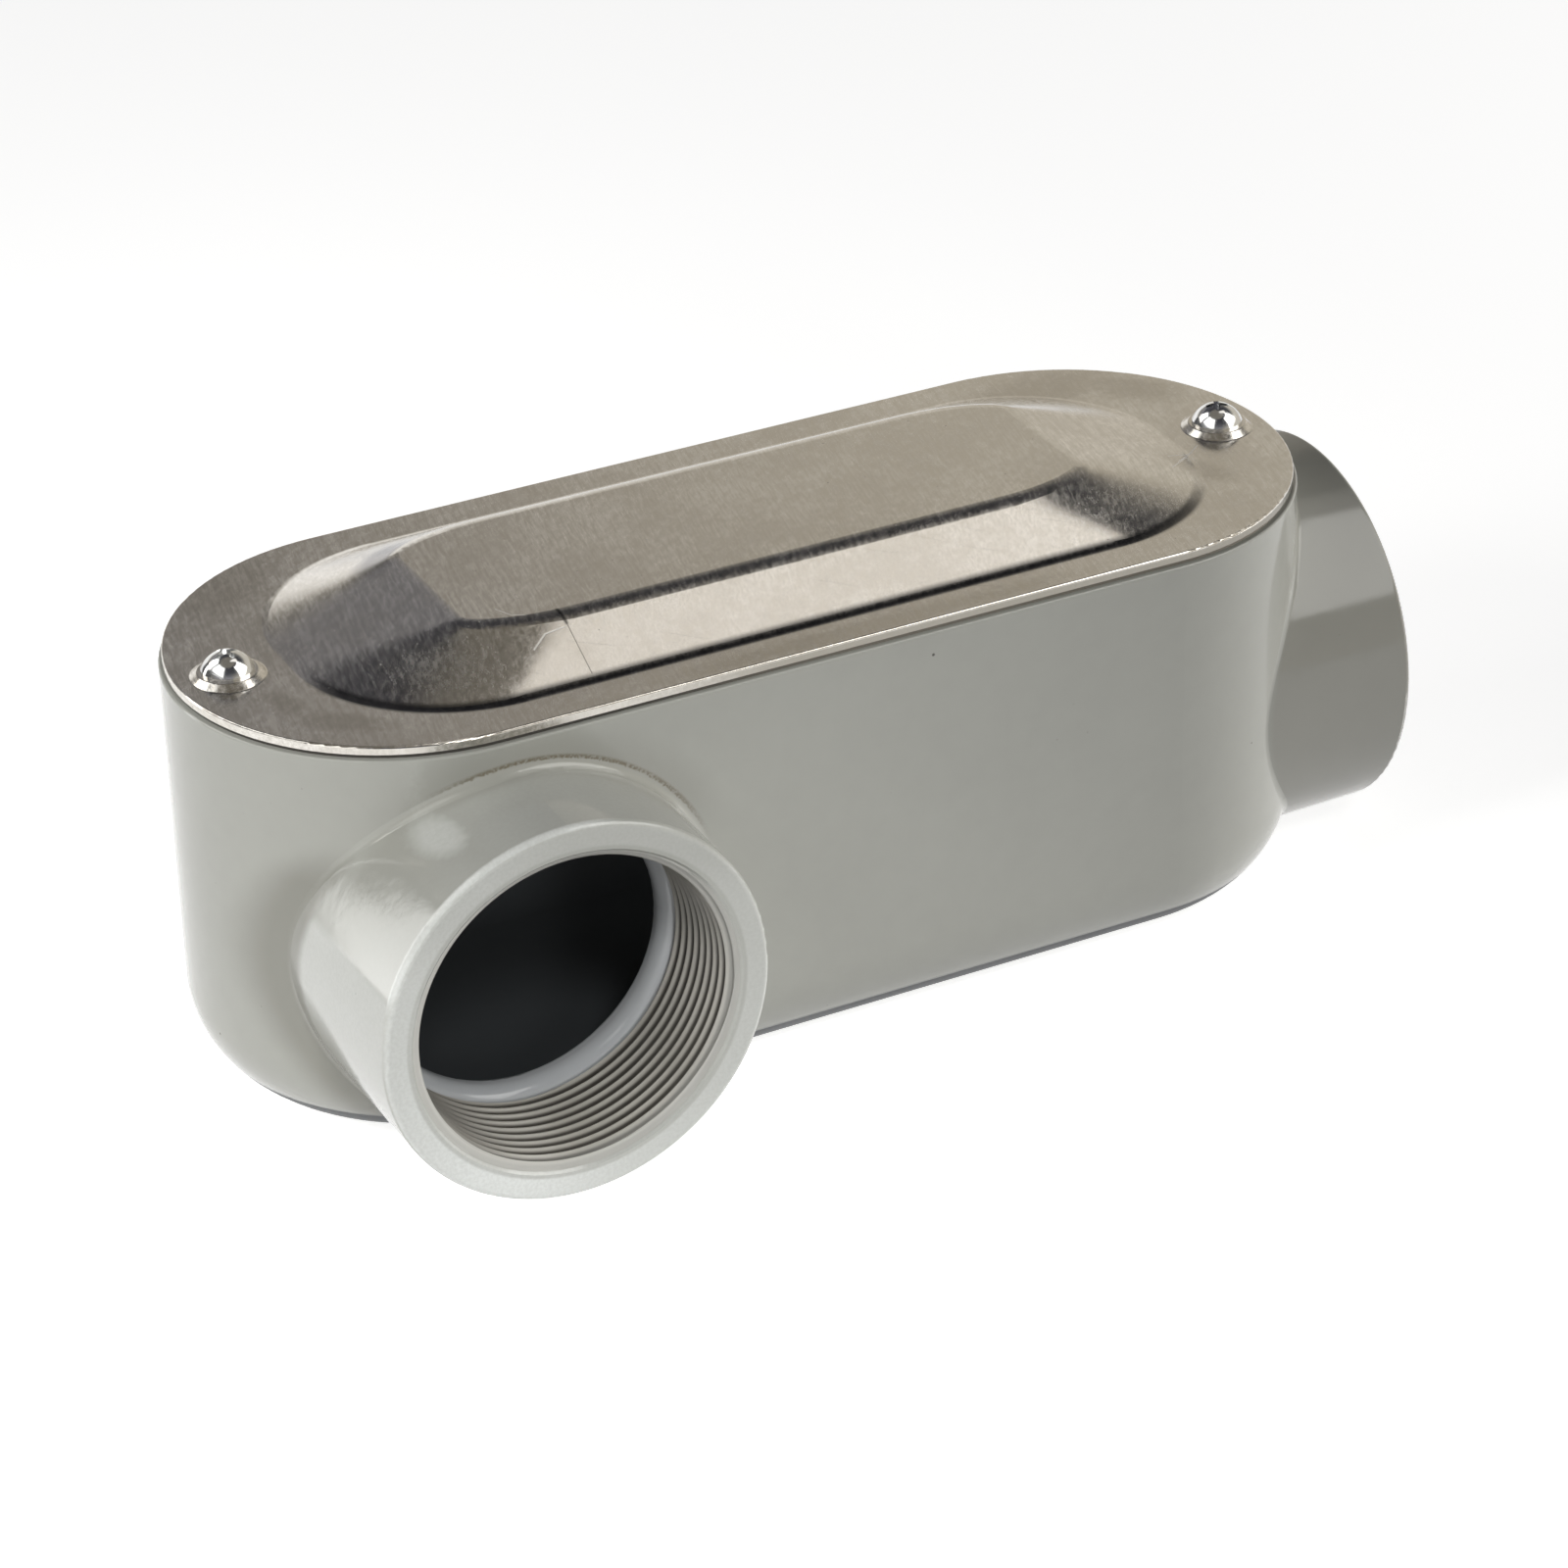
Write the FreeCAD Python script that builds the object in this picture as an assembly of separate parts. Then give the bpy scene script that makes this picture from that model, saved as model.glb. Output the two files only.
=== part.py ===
import FreeCAD, Part
import math
import os
from FreeCAD import Vector

# Conduit body for threaded conduit of trade size 2 (60.3 mm), lying on its flat back.
# Origin: middle of the flat back. +Z to the cover, +X to the end hub, -Y to the side hub.
# All sizes in millimetres.

# Bore of each hub: tapped length, then a smooth rounded lip for the wires
BORE_RADIUS = 29.6          # at the roots of the thread
BORE_MOUTH_CHAMFER = 0.5
TAPPED_LENGTH = 21.8
LIP_LENGTH = 5.6
LIP_STEP = 1.2              # the lip starts this far inside the bore's wall
LIP_ROUND_LENGTH = 3.8
LIP_ROUND_RISE = 2.2
LIP_BACK_RADIUS = 1.6
SLEEVE_WALL = 3.4           # wall round the bore where it stands inside the chamber

# Hubs
HUB_WALL = 5.4              # round the bore, at the hub's face
HUB_DRAFT = 0.9             # degrees, the hub widens towards the wall
HUB_ABOVE_BACK = 2.1        # lowest line of a hub above the back
HUB_FACE_EDGE_RADIUS = 1.1
HUB_ROOT_RADIUS = 1.6       # casting fillet where a hub meets the wall
SIDE_HUB_FROM_END = 8.2     # end of the housing to the side hub's nearest line
SIDE_HUB_STANDS_OUT = 20.6  # side hub's face in front of the flat wall
END_HUB_STANDS_OUT = 11.0   # end hub's face in front of the round end

# Housing
HALF_STRAIGHT = 64.7        # from the middle to the centre of each round end
SHOULDER = 6.3              # the housing is wider than the end hub, on each side
RIM_ABOVE_HUB = 5.9
WALL = 3.5
BACK_EDGE_RADIUS = 17.8     # large rounding between the walls and the back
RIM_EDGE_RADIUS = 0.4

# Cover, one pressed sheet
SHEET = 1.5
COVER_INSET = 0.7           # behind the housing's outer wall
SHEET_EDGE_RADIUS = 0.35
PANEL_HEIGHT = 7.0
PANEL_SIDE_RIM = 8.2        # flat rim beside the raised panel
PANEL_END_RIM = 19.5        # flat rim at the ends, with the screws
PANEL_SIDE_FLANK = 12.6     # level run of the long flanks
PANEL_END_FLANK = 25.8      # level run of the end flanks
PANEL_END_STRAIGHT = 3.8    # half of the straight stretch across each end of the foot
PANEL_TOP_CORNER_RUN = 20.0     # the flat top's corners are quarter ovals, drawn out along the panel
PANEL_TOP_CORNER_RISE = 7.0
FOOT_BEND_RADIUS = 3.6      # both bends are measured on the upper face
TOP_BEND_RADIUS = 6.5
COLLAR_HEIGHT = 1.0         # pressed up round each screw hole
COLLAR_LAND = 0.65          # flat top of the collar outside the screw head
COLLAR_FLANK = 1.3
COLLAR_BEND_RADIUS = 0.4

# Gasket
GASKET_THICKNESS = 0.8
GASKET_INSET = 1.2          # behind the housing's outer wall
GASKET_WIDTH = 5.2
GASKET_ROUND_SCREW = 3.8

# Screws, one near each end of the cover
SCREW_FROM_EDGE = 9.0       # edge of the cover to the screw's axis
SHANK_RADIUS = 2.4
SHANK_LENGTH = 9.5
SHANK_POINT = 0.7
HEAD_RADIUS = 4.55
HEAD_HEIGHT = 3.4
HEAD_RIM = 0.5
RECESS_DEPTH = 1.9
RECESS_HALF_SPAN = 2.3
RECESS_FLOOR_HALF_SPAN = 0.9
RECESS_WIDTH = 0.95
RECESS_TURNS = (20.0, 67.0)     # how far each screw's recess is turned, degrees
THREAD_CLEARANCE = 0.05
HOLE_CLEARANCE = 0.35

# Screw bosses inside the rim
BOSS_WALL = 3.2             # round the tapped hole
HOLE_PAST_SCREW = 2.0
BOSS_FLOOR = 2.8
BOSS_CHAMFER = 2.5

# Places that follow from the sizes above
UP = Vector(0, 0, 1)
LIP_RADIUS = BORE_RADIUS - LIP_STEP
THROAT_RADIUS = LIP_RADIUS - LIP_ROUND_RISE
HUB_RADIUS = BORE_RADIUS + HUB_WALL
HUB_AXIS_HEIGHT = HUB_ABOVE_BACK + HUB_RADIUS
BODY_RADIUS = HUB_RADIUS + SHOULDER
BODY_HEIGHT = HUB_AXIS_HEIGHT + HUB_RADIUS + RIM_ABOVE_HUB
CHAMBER_RADIUS = BODY_RADIUS - WALL
COVER_RADIUS = BODY_RADIUS - COVER_INSET
COVER_Z = BODY_HEIGHT + GASKET_THICKNESS
COVER_TOP_Z = COVER_Z + SHEET
HEAD_Z = COVER_TOP_Z + COLLAR_HEIGHT
SCREW_X = HALF_STRAIGHT + COVER_RADIUS - SCREW_FROM_EDGE
CLEARANCE_HOLE_RADIUS = SHANK_RADIUS + HOLE_CLEARANCE
COLLAR_TOP_RADIUS = HEAD_RADIUS + COLLAR_LAND
SIDE_OUT = Vector(0, -1, 0)
END_OUT = Vector(1, 0, 0)
SIDE_HUB_X = SIDE_HUB_FROM_END + HUB_RADIUS - HALF_STRAIGHT - BODY_RADIUS
SIDE_MOUTH = Vector(SIDE_HUB_X, -BODY_RADIUS - SIDE_HUB_STANDS_OUT, HUB_AXIS_HEIGHT)
END_MOUTH = Vector(HALF_STRAIGHT + BODY_RADIUS + END_HUB_STANDS_OUT, 0, HUB_AXIS_HEIGHT)


def outline_face(start, *steps):
    """Flat face round a closed outline. A step is a point, or a pair: through one point to the next."""
    edges = []
    here = start
    for step in steps + (start,):
        if isinstance(step, tuple):
            edges.append(Part.Arc(here, step[0], step[1]).toShape())
            here = step[1]
        else:
            edges.append(Part.LineSegment(here, step).toShape())
            here = step
    return Part.Face(Part.Wire(edges))


def oval_block(radius, z_low, z_high):
    """Upright block with two straight sides and two half-round ends."""
    a = HALF_STRAIGHT
    start = Vector(-a, -radius, z_low)
    far_end = (Vector(a + radius, 0, z_low), Vector(a, radius, z_low))
    near_end = (Vector(-a - radius, 0, z_low), start)
    edges = [
        Part.LineSegment(start, Vector(a, -radius, z_low)),
        Part.Arc(Vector(a, -radius, z_low), *far_end),
        Part.LineSegment(Vector(a, radius, z_low), Vector(-a, radius, z_low)),
        Part.Arc(Vector(-a, radius, z_low), *near_end),
    ]
    outline = Part.Wire([edge.toShape() for edge in edges])
    return Part.Face(outline).extrude(UP * (z_high - z_low))


def edges_at_height(shape, z):
    """The edges that lie level at a height."""
    return [e for e in shape.Edges if abs(e.BoundBox.ZMin - z) < 1e-4 and abs(e.BoundBox.ZMax - z) < 1e-4]


def edges_on_both(shape, first, second):
    """The edges of a shape along which the skins of two of its pieces cross."""
    skins = (first.Shells[0], second.Shells[0])

    def on_skins(edge):
        probes = [Part.Vertex(point) for point in edge.discretize(5)]
        return all(skin.distToShape(probe)[0] < 1e-3 for skin in skins for probe in probes)

    return [edge for edge in shape.Edges if on_skins(edge)]


def hub_cone(mouth, out, depth):
    """Outside of a hub from its face inwards, a little wider with depth."""
    root_radius = HUB_RADIUS + depth * math.tan(math.radians(HUB_DRAFT))
    cone = Part.makeCone(HUB_RADIUS, root_radius, depth, mouth, out * -1)
    face_rim = [e for e in cone.Edges if e.Closed and (e.CenterOfMass - mouth).Length < 1e-4]
    return cone.makeFillet(HUB_FACE_EDGE_RADIUS, face_rim)


def bore_cut(mouth, out, side, depth):
    """What is removed along a hub's axis: chamfer, tapped bore, rounded lip and throat."""
    lip_round_end = TAPPED_LENGTH + LIP_ROUND_LENGTH
    lip_end = TAPPED_LENGTH + LIP_LENGTH
    flare_start = lip_end - LIP_BACK_RADIUS
    flare_radius = THROAT_RADIUS + LIP_BACK_RADIUS
    mid_arc = 1 - math.sqrt(0.5)

    def at(radius, inwards):
        return mouth + side * radius - out * inwards

    on_lip = at(THROAT_RADIUS + LIP_ROUND_RISE * mid_arc, TAPPED_LENGTH + LIP_ROUND_LENGTH * mid_arc)
    on_flare = at(THROAT_RADIUS + LIP_BACK_RADIUS * mid_arc, lip_end - LIP_BACK_RADIUS * mid_arc)
    profile = outline_face(
        at(0, -BORE_MOUTH_CHAMFER),
        at(BORE_RADIUS + 2 * BORE_MOUTH_CHAMFER, -BORE_MOUTH_CHAMFER),
        at(BORE_RADIUS, BORE_MOUTH_CHAMFER),
        at(BORE_RADIUS, TAPPED_LENGTH),
        at(LIP_RADIUS, TAPPED_LENGTH),
        (on_lip, at(THROAT_RADIUS, lip_round_end)),
        at(THROAT_RADIUS, flare_start),
        (on_flare, at(flare_radius, lip_end)),
        at(flare_radius, depth),
        at(0, depth),
    )
    return profile.revolve(mouth, out, 360)


def screw_boss(sign):
    """Pillar inside the rim that takes a cover screw, grown onto the round end wall."""
    radius = SHANK_RADIUS + BOSS_WALL
    depth = boss_hole_depth() + BOSS_FLOOR
    z_low = BODY_HEIGHT - depth
    pillar = Part.makeCylinder(radius, depth, Vector(SCREW_X, 0, z_low), UP)
    web_length = HALF_STRAIGHT + CHAMBER_RADIUS + WALL / 2 - SCREW_X
    web = Part.makeBox(web_length, 2 * radius, depth, Vector(SCREW_X, -radius, z_low))
    boss = pillar.fuse(web).removeSplitter()
    free_edges = [e for e in edges_at_height(boss, z_low) if isinstance(e.Curve, Part.Circle)]
    boss = boss.makeChamfer(BOSS_CHAMFER, free_edges)
    return boss if sign > 0 else boss.mirror(Vector(0, 0, 0), END_OUT)


def boss_hole_depth():
    """How deep the tapped hole goes below the rim."""
    in_boss = SHANK_LENGTH - (HEAD_Z - BODY_HEIGHT)
    return in_boss + HOLE_PAST_SCREW


def housing():
    """The casting: oval box open at the top, with two hubs and two screw bosses."""
    oval = oval_block(BODY_RADIUS, 0, BODY_HEIGHT)
    oval = oval.makeFillet(BACK_EDGE_RADIUS, edges_at_height(oval, 0))
    side_hub = hub_cone(SIDE_MOUTH, SIDE_OUT, SIDE_HUB_STANDS_OUT + CHAMBER_RADIUS)
    end_hub = hub_cone(END_MOUTH, END_OUT, END_HUB_STANDS_OUT + CHAMBER_RADIUS)
    body = oval.fuse(side_hub).fuse(end_hub)
    hub_roots = edges_on_both(body, oval, side_hub) + edges_on_both(body, oval, end_hub)
    body = body.makeFillet(HUB_ROOT_RADIUS, hub_roots)
    body = body.makeFillet(RIM_EDGE_RADIUS, edges_at_height(body, BODY_HEIGHT))

    chamber = oval_block(CHAMBER_RADIUS, WALL, BODY_HEIGHT + WALL)
    chamber = chamber.makeFillet(BACK_EDGE_RADIUS - WALL, edges_at_height(chamber, WALL))
    body = body.cut(chamber)

    for mouth, out in ((SIDE_MOUTH, SIDE_OUT), (END_MOUTH, END_OUT)):
        inside_face = HUB_FACE_EDGE_RADIUS + BORE_MOUTH_CHAMFER
        length = TAPPED_LENGTH + LIP_LENGTH - inside_face
        sleeve = Part.makeCylinder(BORE_RADIUS + SLEEVE_WALL, length, mouth - out * inside_face, out * -1)
        body = body.fuse(sleeve)
    body = body.fuse(screw_boss(1)).fuse(screw_boss(-1))

    body = body.cut(bore_cut(SIDE_MOUTH, SIDE_OUT, END_OUT, SIDE_HUB_STANDS_OUT + BODY_RADIUS))
    body = body.cut(bore_cut(END_MOUTH, END_OUT, SIDE_OUT, END_HUB_STANDS_OUT + BODY_RADIUS))
    depth = boss_hole_depth()
    for sign in (1, -1):
        floor = Vector(sign * SCREW_X, 0, BODY_HEIGHT - depth)
        body = body.cut(Part.makeCylinder(SHANK_RADIUS + THREAD_CLEARANCE, depth, floor, UP))
    return body.removeSplitter()


def gasket():
    """Flat rubber ring on the rim, with a lobe round each screw."""
    radius = BODY_RADIUS - GASKET_INSET
    outer = oval_block(radius, BODY_HEIGHT, COVER_Z)
    ring = outer.cut(oval_block(radius - GASKET_WIDTH, BODY_HEIGHT, COVER_Z))
    lobe_radius = CLEARANCE_HOLE_RADIUS + GASKET_ROUND_SCREW
    for sign in (1, -1):
        middle = Vector(sign * SCREW_X, 0, BODY_HEIGHT)
        lobe = Part.makeCylinder(lobe_radius, GASKET_THICKNESS, middle, UP)
        hole = Part.makeCylinder(CLEARANCE_HOLE_RADIUS, GASKET_THICKNESS, middle, UP)
        ring = ring.fuse(lobe.common(outer)).cut(hole)
    return ring.removeSplitter()


def corner_arcs(half_length, half_width, run, rise, z):
    """The four corners of a level outline, in turn: quarter ovals, run along X and rise along Y."""
    arcs = []
    quarter = math.pi / 2
    for i, (sx, sy) in enumerate(((1, -1), (1, 1), (-1, 1), (-1, -1))):
        middle = Vector(sx * (half_length - run), sy * (half_width - rise), z)
        turn = (i - 1) * quarter
        if run == rise:
            arc = Part.ArcOfCircle(Part.Circle(middle, UP, rise), turn, turn + quarter)
        elif run > rise:
            oval = Part.Ellipse(middle + Vector(run, 0, 0), middle + Vector(0, rise, 0), middle)
            arc = Part.ArcOfEllipse(oval, turn, turn + quarter)
        else:
            oval = Part.Ellipse(middle + Vector(0, rise, 0), middle - Vector(run, 0, 0), middle)
            arc = Part.ArcOfEllipse(oval, turn - quarter, turn)
        arcs.append(arc.toShape())
    return arcs


def raised_panel(z, side_inset, end_inset):
    """Block on a large rounded foot with a smaller flat top, and straight-drawn flanks between them."""
    foot_size = (
        HALF_STRAIGHT + COVER_RADIUS - PANEL_END_RIM - end_inset,
        COVER_RADIUS - PANEL_SIDE_RIM - side_inset,
    )
    top_size = (foot_size[0] - PANEL_END_FLANK, foot_size[1] - PANEL_SIDE_FLANK)
    foot_corner = foot_size[1] - PANEL_END_STRAIGHT
    top_corner = (PANEL_TOP_CORNER_RUN - end_inset, PANEL_TOP_CORNER_RISE - side_inset)
    foot = corner_arcs(*foot_size, foot_corner, foot_corner, z)
    top = corner_arcs(*top_size, *top_corner, z + PANEL_HEIGHT)
    faces = []
    foot_edges = []
    top_edges = []
    for i in range(4):
        following = (i + 1) % 4
        faces.append(Part.makeRuledSurface(foot[i], top[i]))
        foot_stop, top_stop = (arc.valueAt(arc.LastParameter) for arc in (foot[i], top[i]))
        foot_start, top_start = (arc.valueAt(arc.FirstParameter) for arc in (foot[following], top[following]))
        faces.append(outline_face(foot_stop, foot_start, top_start, top_stop))
        foot_edges += [foot[i], Part.LineSegment(foot_stop, foot_start).toShape()]
        top_edges += [top[i], Part.LineSegment(top_stop, top_start).toShape()]
    faces.append(Part.Face(Part.Wire(foot_edges)))
    faces.append(Part.Face(Part.Wire(top_edges)))
    shell = Part.makeShell(faces)
    shell.sewShape()
    return Part.makeSolid(shell)


def panel_with_bends(plate, panel, top_z, foot_bend, top_bend):
    """The panel grown on a plate, with rounded bends at its foot and round its top."""
    joined = plate.fuse(panel).removeSplitter()
    joined = joined.makeFillet(top_bend, edges_at_height(joined, top_z))
    return joined.makeFillet(foot_bend, edges_on_both(joined, plate, panel))


def lower_face_inset(flank):
    """How far a bend line lies further in on the lower face of the sheet, for a flank of this run."""
    return SHEET * math.tan(math.atan2(PANEL_HEIGHT, flank) / 2)


def collar_form(foot_radius, top_radius, middle, z):
    """Low cone that is pressed up round a screw hole."""
    return Part.makeCone(foot_radius, top_radius, COLLAR_HEIGHT, middle + UP * z, UP)


def cover():
    """Pressed aluminium cover: flat rim, raised panel, and a collar round each screw hole."""
    plate = oval_block(COVER_RADIUS, COVER_Z, COVER_TOP_Z)
    plate = plate.makeFillet(SHEET_EDGE_RADIUS, edges_at_height(plate, COVER_TOP_Z))
    upper = panel_with_bends(
        plate, raised_panel(COVER_TOP_Z, 0, 0), COVER_TOP_Z + PANEL_HEIGHT, FOOT_BEND_RADIUS, TOP_BEND_RADIUS
    )
    below = oval_block(COVER_RADIUS, COVER_Z - SHEET, COVER_Z)
    hollow = raised_panel(COVER_Z, lower_face_inset(PANEL_SIDE_FLANK), lower_face_inset(PANEL_END_FLANK))
    lower = panel_with_bends(
        below, hollow, COVER_Z + PANEL_HEIGHT, FOOT_BEND_RADIUS + SHEET, TOP_BEND_RADIUS - SHEET
    )
    sheet = upper.cut(lower)

    foot_radius = COLLAR_TOP_RADIUS + COLLAR_FLANK
    inset = SHEET * math.tan(math.atan2(COLLAR_HEIGHT, COLLAR_FLANK) / 2)
    for sign in (1, -1):
        middle = Vector(sign * SCREW_X, 0, 0)
        land = foot_radius + COLLAR_BEND_RADIUS
        plate_piece = Part.makeCylinder(land, SHEET, middle + UP * COVER_Z, UP)
        collar = collar_form(foot_radius, COLLAR_TOP_RADIUS, middle, COVER_TOP_Z)
        raised = plate_piece.fuse(collar).removeSplitter()
        bends = edges_on_both(raised, plate_piece, collar) + edges_at_height(raised, HEAD_Z)
        raised = raised.makeFillet(COLLAR_BEND_RADIUS, bends)
        dimple = collar_form(foot_radius - inset, COLLAR_TOP_RADIUS - inset, middle, COVER_Z)
        hole = Part.makeCylinder(CLEARANCE_HOLE_RADIUS, HEAD_Z - COVER_Z, middle + UP * COVER_Z, UP)
        sheet = sheet.fuse(raised).cut(dimple).cut(hole)
    return sheet.removeSplitter()


def recess_wing(turn):
    """One slot of the cross recess, wide at the head's top and narrow at its floor."""
    y = -RECESS_WIDTH / 2
    floor_z = HEAD_HEIGHT - RECESS_DEPTH
    face = outline_face(
        Vector(-RECESS_FLOOR_HALF_SPAN, y, floor_z),
        Vector(RECESS_FLOOR_HALF_SPAN, y, floor_z),
        Vector(RECESS_HALF_SPAN, y, HEAD_HEIGHT),
        Vector(-RECESS_HALF_SPAN, y, HEAD_HEIGHT),
    )
    wing = face.extrude(Vector(0, RECESS_WIDTH, 0))
    wing.rotate(Vector(0, 0, 0), UP, turn)
    return wing


def screw(x, turn):
    """Round-head machine screw with a cross recess, its head seated at z 0 before it is placed."""
    dome = HEAD_HEIGHT - HEAD_RIM
    sphere = (HEAD_RADIUS ** 2 + dome ** 2) / (2 * dome)
    half_way = math.asin(HEAD_RADIUS / sphere) / 2
    on_dome = Vector(sphere * math.sin(half_way), 0, HEAD_HEIGHT - sphere * (1 - math.cos(half_way)))
    profile = outline_face(
        Vector(0, 0, -SHANK_LENGTH),
        Vector(SHANK_RADIUS - SHANK_POINT, 0, -SHANK_LENGTH),
        Vector(SHANK_RADIUS, 0, SHANK_POINT - SHANK_LENGTH),
        Vector(SHANK_RADIUS, 0, 0),
        Vector(HEAD_RADIUS, 0, 0),
        Vector(HEAD_RADIUS, 0, HEAD_RIM),
        (on_dome, Vector(0, 0, HEAD_HEIGHT)),
    )
    solid = profile.revolve(Vector(0, 0, 0), UP, 360)
    solid = solid.cut(recess_wing(turn)).cut(recess_wing(turn + 90))
    solid.translate(Vector(x, 0, HEAD_Z))
    return solid


def cover_screws():
    """The two screws as separate solids."""
    return Part.makeCompound([screw(-SCREW_X, RECESS_TURNS[0]), screw(SCREW_X, RECESS_TURNS[1])])


NODES = {"housing": housing, "gasket": gasket, "cover": cover, "cover_screws": cover_screws}

os.makedirs("parts", exist_ok=True)
for name, make in NODES.items():
    shape = make()
    shape.exportStep("parts/" + name + ".step")
    print(name, len(shape.Solids), shape.isValid(), round(shape.Volume, 1))
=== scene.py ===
import math
import bmesh
import bpy
from mathutils import Matrix, Vector


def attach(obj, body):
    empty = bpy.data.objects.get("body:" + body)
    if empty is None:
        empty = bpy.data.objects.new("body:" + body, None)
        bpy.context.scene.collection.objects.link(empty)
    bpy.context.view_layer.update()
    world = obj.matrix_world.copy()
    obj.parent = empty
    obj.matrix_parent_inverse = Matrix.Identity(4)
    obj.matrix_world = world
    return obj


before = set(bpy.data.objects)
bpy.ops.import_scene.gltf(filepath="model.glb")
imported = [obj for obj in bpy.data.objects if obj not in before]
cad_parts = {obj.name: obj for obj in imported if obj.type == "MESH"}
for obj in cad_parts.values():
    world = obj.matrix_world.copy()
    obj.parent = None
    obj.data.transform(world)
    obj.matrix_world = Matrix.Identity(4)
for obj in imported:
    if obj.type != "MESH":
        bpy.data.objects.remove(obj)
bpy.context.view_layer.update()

MM = 0.001

# Camera, from the outlines in the photograph.
CAMERA_AT = Vector((-0.352722, -0.715884, 0.480294))
CAMERA_RIGHT = Vector((0.887723, -0.459830, -0.022444))
CAMERA_DOWN = Vector((-0.242513, -0.425631, -0.871794))
CAMERA_LENS = 117.76
SENSOR = 36.0

# Conduit body, in millimetres.
HUB_HEIGHT = 37.1
HUB_RADIUS = 35.0
BORE_RADIUS = 29.6
SIDE_HUB_X = -62.8
SIDE_MOUTH_Y = -61.9
SIDE_ROOT_Y = -41.3
END_MOUTH_X = 117.0
HALF_STRAIGHT = 64.7
CHAMBER_RADIUS = 37.8
BODY_RADIUS = 41.3
RIM_HEIGHT = 78.0
COVER_TOP = 80.3
PANEL_TOP = 87.15
PANEL_HALF_LENGTH = 85.8
PANEL_HALF_WIDTH = 32.4
PANEL_CORNER = 28.6

# Smooth lips behind the threads, in millimetres.
SIDE_LIP_START_Y = -41.0
SIDE_LIP_END_Y = -34.9
END_LIP_END_X = 90.0
CHAMBER_FLOOR = 3.0

# Pipe thread, in millimetres. Depths run from the mouth of the hub.
THREAD_PITCH = 2.209
THREAD_START = 0.45
THREAD_END = 21.35
LEAD_IN = 0.55
RUN_OUT = 0.6
ROOT_RADIUS = 29.5
CREST_RADIUS = 28.15
TAPER = 1.0 / 32.0
THREAD_SKIN = 0.02
THREAD_SLEEVE = 29.75
# Shares of half a pitch that the root's flat and the flank take.
ROOT_FLAT = 0.12
FLANK_RISE = 0.78
THREAD_STEPS = 180
THREAD_ROWS = 8
SAME_POINT = 1e-7


def smooth(value):
    value = min(max(value, 0.0), 1.0)
    return value * value * (3.0 - 2.0 * value)


def add_object(name, data):
    item = bpy.data.objects.new(name, data)
    bpy.context.scene.collection.objects.link(item)
    return item


# Shader nodes

def put(tree, kind, inputs=None, **options):
    """Add a node. An input is a value, or the socket that feeds it."""
    node = tree.nodes.new(kind)
    for name, value in options.items():
        setattr(node, name, value)
    for name, value in (inputs or {}).items():
        feed(tree, node.inputs[name], value)
    return node


def feed(tree, socket, value):
    if isinstance(value, bpy.types.NodeSocket):
        tree.links.new(value, socket)
    else:
        socket.default_value = value


def calc(tree, operation, first, second=0.0, third=0.0):
    node = put(tree, "ShaderNodeMath", {0: first, 1: second, 2: third}, operation=operation)
    return node.outputs[0]


def product(tree, *factors):
    total = factors[0]
    for factor in factors[1:]:
        total = calc(tree, "MULTIPLY", total, factor)
    return total


def any_of(tree, *masks):
    total = masks[0]
    for mask in masks[1:]:
        total = calc(tree, "MAXIMUM", total, mask)
    return total


def fade(tree, value, start, end, low=0.0, high=1.0):
    """A smooth step of a value from start to end."""
    node = put(tree, "ShaderNodeMapRange",
               {"Value": value, "From Min": start, "From Max": end, "To Min": low, "To Max": high},
               interpolation_type="SMOOTHSTEP")
    return node.outputs["Result"]


def band(tree, value, low, high, soft):
    """One between low and high, falling off over a soft edge outside them."""
    return product(tree, fade(tree, value, low - soft, low), fade(tree, value, high, high + soft, 1.0, 0.0))


def blend(tree, factor, first, second):
    node = put(tree, "ShaderNodeMix", data_type="RGBA")
    for index, value in ((0, factor), (6, first), (7, second)):
        feed(tree, node.inputs[index], value)
    return node.outputs[2]


def vector_calc(tree, operation, first, second=(0.0, 0.0, 0.0)):
    node = put(tree, "ShaderNodeVectorMath", {0: first, 1: second}, operation=operation)
    return node.outputs["Value" if operation in ("DISTANCE", "DOT_PRODUCT") else "Vector"]


def scale(tree, vector, factor):
    node = put(tree, "ShaderNodeVectorMath", {0: vector, "Scale": factor}, operation="SCALE")
    return node.outputs["Vector"]


def turned_in_plan(tree, vector, angle):
    node = put(tree, "ShaderNodeVectorRotate", {"Vector": vector, "Angle": angle}, rotation_type="Z_AXIS")
    return node.outputs[0]


def noise(tree, place, size, detail, roughness=0.5):
    node = put(tree, "ShaderNodeTexNoise",
               {"Vector": place, "Scale": size, "Detail": detail, "Roughness": roughness})
    return node.outputs["Fac"]


def split(tree, vector):
    node = put(tree, "ShaderNodeSeparateXYZ", {"Vector": vector})
    return node.outputs["X"], node.outputs["Y"], node.outputs["Z"]


def length_of(tree, one, two):
    square = calc(tree, "ADD", product(tree, one, one), product(tree, two, two))
    return calc(tree, "SQRT", square)


def distance_from(tree, first, first_at, second, second_at):
    """Distance from a line that runs along the third axis."""
    return length_of(tree, calc(tree, "SUBTRACT", first, first_at), calc(tree, "SUBTRACT", second, second_at))


def share_of_turn(tree, rise, run):
    """Angle round an axis, as a share of a full turn."""
    angle = calc(tree, "ARCTAN2", rise, run)
    return calc(tree, "FRACT", calc(tree, "DIVIDE", angle, 2.0 * math.pi))


def rgb(red, green, blue):
    return (red, green, blue, 1.0)


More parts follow.
